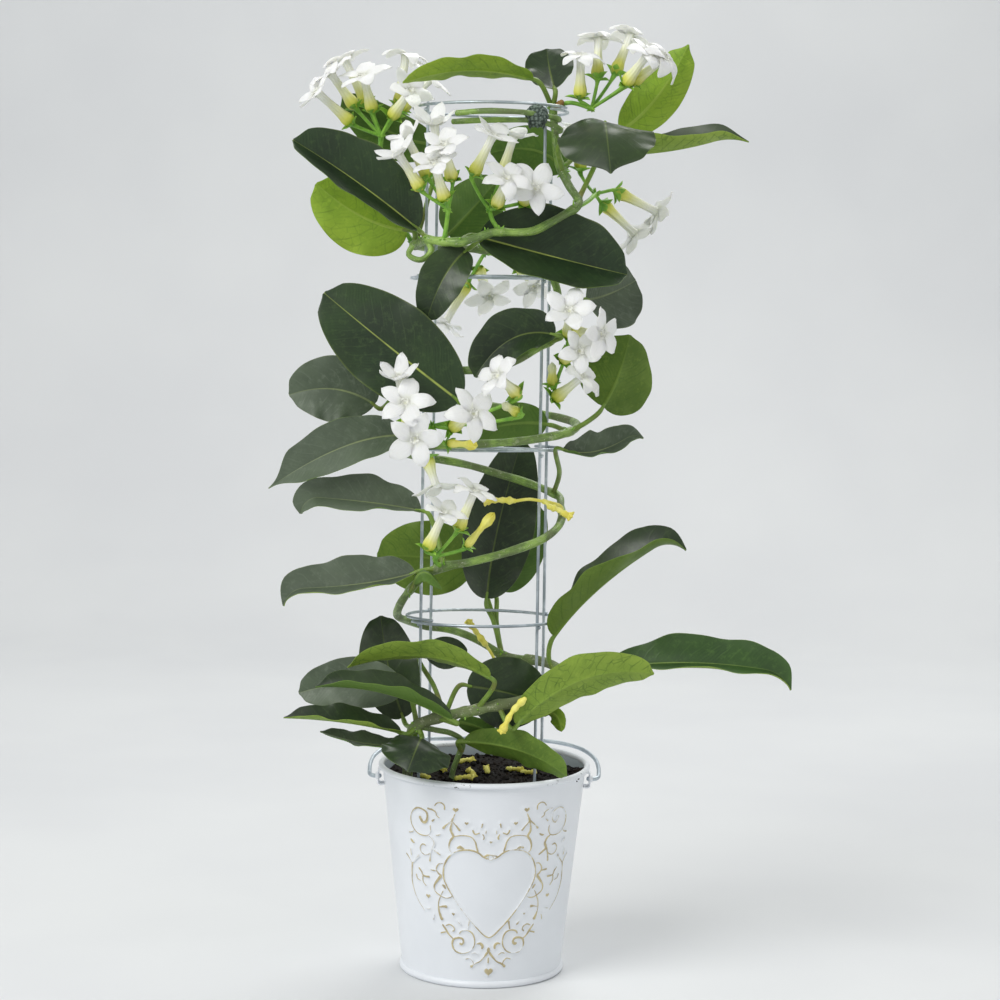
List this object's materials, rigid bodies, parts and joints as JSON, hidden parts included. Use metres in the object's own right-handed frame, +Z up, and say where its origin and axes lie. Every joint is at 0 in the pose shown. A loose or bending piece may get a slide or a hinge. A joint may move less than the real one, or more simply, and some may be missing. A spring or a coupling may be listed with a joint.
{
  "type": "potted madagascar jasmine",
  "caption": "Flowering madagascar jasmine twined up a tower of wire rings in a small white metal bucket with a folding handle.",
  "frame": {"origin": "centre of the bucket's base, on the surface that it stands on", "axes": "+Z up, -Y towards the heart ornament on the bucket's front, +X to the right seen from the front"},
  "size_m": [0.3112, 0.1858, 0.5667],
  "materials": {
    "white_paint": "satin white paint",
    "wire": "galvanised wire",
    "soil": "dark crumbly potting soil",
    "string": "fibrous grey-green string",
    "stem": "green stem",
    "leaf": "leathery, dark green, softly glossy",
    "petal": "waxy white"
  },
  "bodies": {
    "planter": {"bucket": "white_paint", "soil": "soil", "ear_left": "white_paint", "ear_right": "white_paint", "leg_front_left": "wire", "leg_front_right": "wire", "leg_back_left": "wire", "leg_back_right": "wire", "ring_1": "wire", "ring_2": "wire", "ring_3": "wire", "ring_4": "wire", "tie": "string", "vine": "stem", "leaf_crown_left": "leaf", "leaf_crown_back": "leaf", "leaf_crown_right": "leaf", "leaf_drooping_heart": "leaf", "leaf_long_right": "leaf", "leaf_back_top": "leaf", "leaf_big_left": "leaf", "leaf_bright_left": "leaf", "leaf_back_left": "leaf", "leaf_centre_back": "leaf", "leaf_dark_right": "leaf", "leaf_grey_right": "leaf", "leaf_drooping_centre": "leaf", "leaf_dark_left": "leaf", "leaf_grey_left": "leaf", "leaf_pointing_left": "leaf", "leaf_wavy_upper": "leaf", "leaf_round_back": "leaf", "leaf_wavy_lower": "leaf", "leaf_upright_back": "leaf", "leaf_twisted_right": "leaf", "leaf_round_right": "leaf", "leaf_dark_centre": "leaf", "leaf_green_centre": "leaf", "leaf_fold_right": "leaf", "leaf_pale_low_right": "leaf", "leaf_far_right": "leaf", "leaf_upright_left": "leaf", "leaf_pale_arch": "leaf", "leaf_grey_low_left": "leaf", "leaf_dark_low_left": "leaf", "leaf_low_upper": "leaf", "leaf_over_rim_left": "leaf", "leaf_over_rim_right": "leaf", "leaf_dark_low_centre": "leaf", "flowers_top_left": "petal", "flowers_left": "petal", "flowers_centre": "petal", "flowers_top_right": "petal", "flowers_right_back": "petal", "flowers_back": "petal", "flowers_right": "petal", "flowers_centre_left": "petal", "flowers_low": "petal"},
    "handle": {"bail": "wire"}
  },
  "joints": [
    {"name": "bail_swing", "type": "hinge", "parent": "planter", "child": "handle", "pos_m": [0, 0, 0.1165], "axis": [1, 0, 0], "range_deg": [0, 40]}
  ]
}
